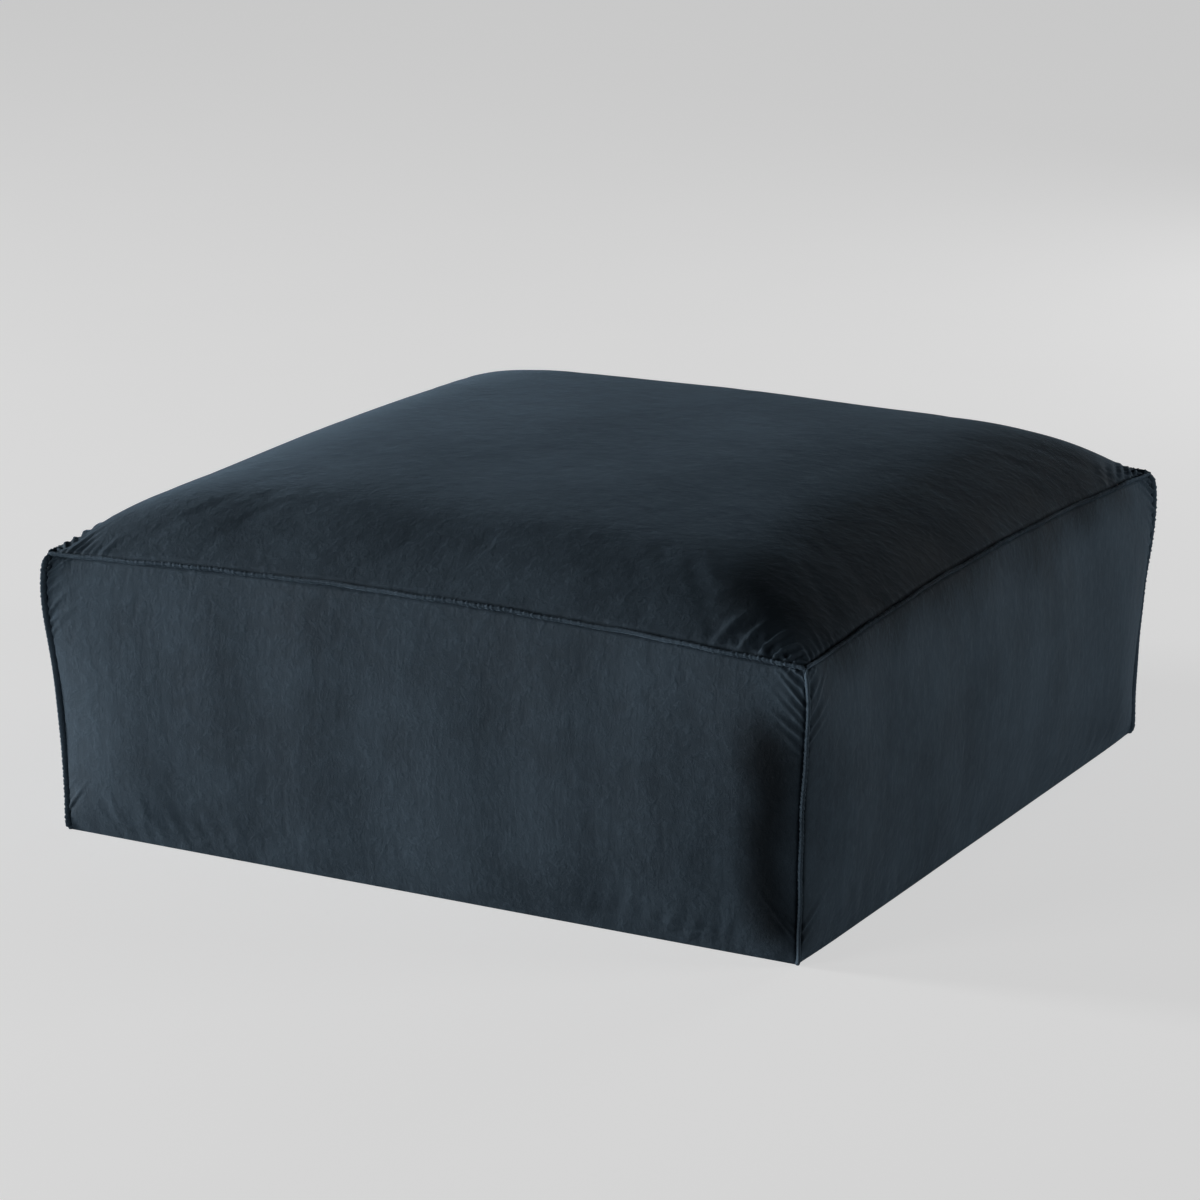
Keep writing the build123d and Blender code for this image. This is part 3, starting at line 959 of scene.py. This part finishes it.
def painted_shade_patch(m, low, high, soft):
    """The mask of a patch of painted shade: 1 inside a box in the row frame and 0 outside it, fading over
    soft metres with a ragged edge.
    """
    ragged = m.make("ShaderNodeTexNoise", Vector=m.place, Scale=9.0, Detail=4.0).outputs["Color"]
    moved = m.make("ShaderNodeVectorMath", {"operation": "MULTIPLY_ADD"})
    m.put(ragged, moved.inputs[0])
    moved.inputs[1].default_value = (soft, soft, soft)
    m.put(m.place, moved.inputs[2])
    split = m.make("ShaderNodeSeparateXYZ", Vector=moved.outputs[0])
    share = 1.0
    for axis, near, far in zip("XYZ", low, high):
        at = split.outputs[axis]
        past_near = m.between(at, near, near + soft)
        before_far = m.between(at, far, far + soft, 1.0, 0.0)
        share = m.math("MULTIPLY", m.math("MULTIPLY", past_near, before_far), share)
    return share


# Painted shade: low and high corners of the places that are dark in the photo, where the velvet's colour is
# darkened, and how soft their edges are
CORNER_SHADE_PATCH = ((0.430, -0.60, 0.02), (0.490, -0.47, 0.28), 0.060)
SLOPE_SHADE_PATCH = ((0.36, -0.46, 0.33), (0.60, 0.42, 0.50), 0.10)
# Painted shade: how fully it covers a patch, and how dark it makes the velvet's colour there
PAINTED_SHADE_STRENGTH, PAINTED_SHADE_DARKNESS = 0.9, 0.2


def velvet_material(name, painted_sheen_scale=1.0):
    """Blue-grey velvet: a dark body, a soft sheen from the pile, and patches of painted shade where its
    colour is darkened.
    """
    m = Nodes(name)
    clouds = m.between(m.noise(7.0, 4.0, 0.6), 0.34, 0.66)
    streaks = m.between(m.noise(38.0, 3.0, 0.6, stretch=(1, 1, 0.22)), 0.34, 0.66)
    marks = m.between(m.noise(75.0, 4.0, 0.7), 0.40, 0.72)
    pile = m.noise(1300.0, 2.0, 0.7, stretch=(1, 1, 0.5))
    lie = m.math("MULTIPLY", clouds, 0.5)
    lie = m.math("ADD", lie, m.math("MULTIPLY", streaks, 0.2))
    lie = m.math("ADD", lie, m.math("MULTIPLY", marks, 0.3))
    grain = m.math("MULTIPLY", m.math("SUBTRACT", pile, 0.35), 0.5)
    speck = m.math("ADD", m.math("MULTIPLY", lie, 0.85), grain)
    # A scale above 1 lightens the whole colour as painted sheen
    dark = (0.032 * painted_sheen_scale, 0.050 * painted_sheen_scale, 0.069 * painted_sheen_scale, 1)
    light = (0.070 * painted_sheen_scale, 0.104 * painted_sheen_scale, 0.138 * painted_sheen_scale, 1)
    # Patches of painted shade: the velvet's colour is mixed towards a fifth of its dark tone
    corner_shade = painted_shade_patch(m, *CORNER_SHADE_PATCH)
    slope_shade = painted_shade_patch(m, *SLOPE_SHADE_PATCH)
    painted_shade = m.math("MULTIPLY", m.math("MAXIMUM", corner_shade, slope_shade), PAINTED_SHADE_STRENGTH)
    painted_shade_colour = (*(PAINTED_SHADE_DARKNESS * c for c in dark[:3]), 1)
    colour = m.mix(painted_shade, m.mix(speck, dark, light), painted_shade_colour)
    fibre = m.bump(pile, 0.0007, 0.6)
    nap = m.bump(lie, 0.0035, 0.45, fibre)
    m.set(Base_Color=colour, Normal=nap, Roughness=m.between(lie, 0.0, 1.0, 0.78, 0.92))
    m.set(Specular_IOR_Level=0.15, Sheen_Weight=0.42, Sheen_Roughness=0.3, Sheen_Tint=(0.34, 0.49, 0.64, 1))
    return m.material


WAVE_BANDS = 6.3  # bands that a wave texture of scale 1 draws in a metre, about


def cloth_material(name, dark, light, thread=0.0009, sheen=0.15):
    """Plain woven cloth: warp and weft at thread metres, a little uneven in colour."""
    m = Nodes(name)
    tone = m.noise(22.0, 3.0)
    wave = {"Vector": m.place, "Scale": 1 / thread / WAVE_BANDS, "Distortion": 0.3}
    warp, weft, depth = (
        m.make("ShaderNodeTexWave", {"bands_direction": axis}, **wave).outputs["Fac"] for axis in "XZY"
    )
    weave = m.math("MULTIPLY", m.math("MAXIMUM", warp, weft), m.math("ADD", depth, 0.4))
    share = m.math("ADD", m.math("MULTIPLY", tone, 0.5), m.math("MULTIPLY", weave, 0.4))
    m.set(Base_Color=m.mix(share, dark, light), Normal=m.bump(weave, thread * 0.4, 0.5))
    m.set(Roughness=m.between(tone, 0.3, 0.7, 0.82, 0.95), Specular_IOR_Level=0.2)
    m.set(Sheen_Weight=sheen, Sheen_Roughness=0.5)
    return m.material


def base_cloth_material():
    """Black non-slip cloth with rows of small rubber dots."""
    m = Nodes("non_slip_cloth")
    dots = m.make("ShaderNodeTexVoronoi", Vector=m.place, Scale=210.0, Randomness=0.0).outputs["Distance"]
    dot = m.between(dots, 0.24, 0.30, 1.0, 0.0)
    fuzz = m.noise(900.0, 2.0)
    cloth = m.mix(fuzz, (0.010, 0.011, 0.012, 1), (0.024, 0.025, 0.027, 1))
    m.set(Base_Color=m.mix(dot, cloth, (0.035, 0.036, 0.038, 1)), Roughness=m.between(dot, 0, 1, 0.9, 0.45))
    m.set(Normal=m.bump(dot, 0.0005, 0.8, m.bump(fuzz, 0.0003, 0.4)))
    return m.material


def fibre_material():
    """White polyester fibre, in soft tangled strands."""
    m = Nodes("polyester_fibre")
    tangle = m.noise(160.0, 5.0, 0.75, stretch=(1, 0.3, 1))
    strands = m.noise(420.0, 4.0, 0.7, stretch=(0.25, 1, 1))
    share = m.math("MULTIPLY", m.math("ADD", tangle, strands), 0.5)
    m.set(Base_Color=m.mix(share, (0.62, 0.62, 0.61, 1), (0.86, 0.86, 0.85, 1)), Roughness=0.95)
    m.set(Normal=m.bump(share, 0.004, 0.8), Sheen_Weight=0.2, Sheen_Roughness=0.6)
    return m.material


def foam_material(name, dark, light, cell):
    """Open-cell foam: small pores of about cell metres."""
    m = Nodes(name)
    pores = m.make("ShaderNodeTexVoronoi", Vector=m.place, Scale=1 / cell).outputs["Distance"]
    age = m.noise(5.0, 3.0)
    share = m.math("ADD", m.math("MULTIPLY", pores, 0.6), m.math("MULTIPLY", age, 0.4))
    m.set(Base_Color=m.mix(share, dark, light), Roughness=0.9, Specular_IOR_Level=0.2)
    m.set(Normal=m.bump(pores, cell * 0.5, 0.6))
    return m.material


def metal_material():
    """Dark nickel, worn a little brighter in patches."""
    m = Nodes("dark_nickel")
    wear = m.noise(240.0, 4.0, 0.6)
    scratches = m.noise(900.0, 2.0, 0.5, stretch=(0.08, 1, 1))
    m.set(Base_Color=m.mix(wear, (0.16, 0.16, 0.17, 1), (0.26, 0.26, 0.27, 1)), Metallic=1.0)
    m.set(Roughness=m.between(scratches, 0.3, 0.7, 0.28, 0.44), Normal=m.bump(scratches, 0.00005, 0.3))
    return m.material


def plastic_material():
    """Moulded zip teeth, slate grey."""
    m = Nodes("moulded_teeth")
    tone = m.noise(300.0, 3.0)
    m.set(Base_Color=m.mix(tone, (0.020, 0.027, 0.034, 1), (0.032, 0.041, 0.050, 1)))
    m.set(Roughness=m.between(tone, 0.3, 0.7, 0.32, 0.46), Normal=m.bump(tone, 0.00006, 0.3))
    return m.material


velvet = velvet_material("velvet")
# The seams' raised ridges: the same velvet made 1.3 times lighter, a painted sheen
welt_velvet_painted_sheen = velvet_material("velvet_welt", 1.3)
ticking = cloth_material("cotton_ticking", (0.60, 0.58, 0.53, 1), (0.78, 0.76, 0.70, 1))
tape_cloth = cloth_material("zip_tape_cloth", (0.014, 0.019, 0.024, 1), (0.030, 0.039, 0.048, 1), 0.0005)
thread_cloth = cloth_material("sewing_thread", (0.020, 0.028, 0.036, 1), (0.036, 0.048, 0.060, 1), 0.0004)
non_slip = base_cloth_material()
fibre = fibre_material()
metal = metal_material()
plastic = plastic_material()
FOAMS = {
    "comfort_foam": foam_material("soft_foam", (0.70, 0.68, 0.58, 1), (0.86, 0.84, 0.74, 1), 0.0011),
    "core_foam": foam_material("core_foam", (0.52, 0.62, 0.66, 1), (0.66, 0.76, 0.80, 1), 0.0013),
    "base_foam": foam_material("firm_foam", (0.36, 0.37, 0.38, 1), (0.50, 0.51, 0.52, 1), 0.0009),
}


def finish_piece(piece, material, slot, *nodes):
    """Gives a piece its material and its body, and hides the CAD nodes that it stands for. slot is not used.
    """
    piece.data.materials.append(material)
    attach(piece, "cushion")
    if nodes:
        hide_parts(*nodes)


for side, panel in panels.items():
    finish_piece(panel, velvet, "velvet", f"cover_{side}")
for side in SIDES:
    finish_piece(welts[side], welt_velvet_painted_sheen, "velvet_welt", f"top_welt_{side}")
LEFT_CORNERS = {"front": "front_left", "right": "front_right", "back": "back_right", "left": "back_left"}
for side, corner in LEFT_CORNERS.items():
    finish_piece(welts[f"corner {side}"], welt_velvet_painted_sheen, "velvet_welt", f"corner_welt_{corner}")


for node, piece in inner.items():
    is_liner = node.startswith("liner")
    finish_piece(piece, ticking if is_liner else fibre, "ticking" if is_liner else "fibre", node)
finish_piece(base, non_slip, "base_cloth", "cover_base")
for side, piece in teeth.items():
    finish_piece(piece, plastic, "zip_teeth", f"zip_teeth_{side}")
for piece in zip_stitches:
    finish_piece(piece, thread_cloth, "velvet_welt")


def repaint(node, material):
    """Gives a CAD node that is shown as it is its finish."""
    slots = bpy.data.objects[node].material_slots
    if slots:
        for material_slot in slots:
            material_slot.material = material
    else:
        bpy.data.objects[node].data.materials.append(material)


for node, material in FOAMS.items():
    repaint(node, material)
for node in ("zip_tape_upper", "zip_tape_lower"):
    repaint(node, tape_cloth)
for node in ("zip_stops", "zip_slider", "zip_pull"):
    repaint(node, metal)


# ---------- Floor, light and camera

FLOOR_HALF = 14
FLOOR_GLOW = 0.56  # this much of the floor's paleness is seen but lights nothing
WORLD_LIGHT = 0.015
WORLD_SEEN = 0.72
LIGHT_DISTANCE = 4.2
LIGHT_SIZE = 1.5
KEY_DISTANCE = 6.5
AIM_HEIGHT = 0.2
LIGHT_LIFT = 0.3


def pale_floor():
    """A wide pale floor that is lit a little from within, as a studio sweep looks."""
    size = FLOOR_HALF
    corners = [(-size, -size, 0), (size, -size, 0), (size, size, 0), (-size, size, 0)]
    floor = new_object("floor", corners, [[0, 1, 2, 3]], False)
    m = Nodes("pale_floor")
    grain = m.noise(3.0, 4.0)
    m.set(Base_Color=m.mix(grain, (0.50, 0.50, 0.50, 1), (0.54, 0.54, 0.54, 1)), Roughness=0.9)
    seen = m.make("ShaderNodeLightPath").outputs["Is Camera Ray"]
    glow = m.math("MULTIPLY", seen, FLOOR_GLOW)
    m.set(Specular_IOR_Level=0.1, Emission_Color=(1, 1, 1, 1), Emission_Strength=glow)
    floor.data.materials.append(m.material)


def studio_world():
    """A pale backdrop for the camera, and a weak even light for the object."""
    world = bpy.data.worlds.new("studio")
    bpy.context.scene.world = world
    world.use_nodes = True
    tree = world.node_tree
    background = tree.nodes["Background"]
    background.inputs["Color"].default_value = (1, 1, 1, 1)
    seen = tree.nodes.new("ShaderNodeLightPath").outputs["Is Camera Ray"]
    strength = tree.nodes.new("ShaderNodeMapRange")
    strength.inputs["To Min"].default_value = WORLD_LIGHT
    strength.inputs["To Max"].default_value = WORLD_SEEN
    tree.links.new(seen, strength.inputs["Value"])
    tree.links.new(strength.outputs["Result"], background.inputs["Strength"])


def soft_light(name, azimuth, elevation, power, distance=LIGHT_DISTANCE):
    """A square softbox aimed at the cushion, azimuth degrees round from the front, elevation degrees up."""
    a, e = math.radians(azimuth), math.radians(elevation)
    flat = distance * math.cos(e)
    place = Vector((math.sin(a) * flat, -math.cos(a) * flat, LIGHT_LIFT + distance * math.sin(e)))
    data = bpy.data.lights.new(name, "AREA")
    data.shape = "RECTANGLE"
    data.size = LIGHT_SIZE
    data.size_y = LIGHT_SIZE
    data.energy = power
    light = bpy.data.objects.new(name, data)
    light.location = place
    light.rotation_euler = (Vector((0, 0, AIM_HEIGHT)) - place).to_track_quat("-Z", "Y").to_euler()
    light.visible_camera = False
    bpy.context.scene.collection.objects.link(light)


CAMERA_AZIMUTH = math.radians(28.66)
CAMERA_ELEVATION = math.radians(15.59)
CAMERA_DISTANCE = 5.235
CAMERA_AIM = Vector((0.0, -0.049, 0.245))
CAMERA_LENS = 128.1


def photo_camera():
    """The camera at the photo's angle."""
    data = bpy.data.cameras.new("camera")
    data.lens = CAMERA_LENS
    data.clip_end = 100
    camera = bpy.data.objects.new("camera", data)
    flat = math.cos(CAMERA_ELEVATION)
    back = Vector(
        (math.sin(CAMERA_AZIMUTH) * flat, -math.cos(CAMERA_AZIMUTH) * flat, math.sin(CAMERA_ELEVATION))
    )
    camera.location = CAMERA_AIM + back * CAMERA_DISTANCE
    camera.rotation_euler = (-back).to_track_quat("-Z", "Y").to_euler()
    bpy.context.scene.collection.objects.link(camera)
    bpy.context.scene.camera = camera


pale_floor()
studio_world()
soft_light("key", -76, 2.5, 430, KEY_DISTANCE)
soft_light("front", -26, 6, 38)
soft_light("side", 112, 6, 42)
soft_light("back", 166, 8, 26)
photo_camera()
bpy.context.scene.view_settings.view_transform = "Standard"
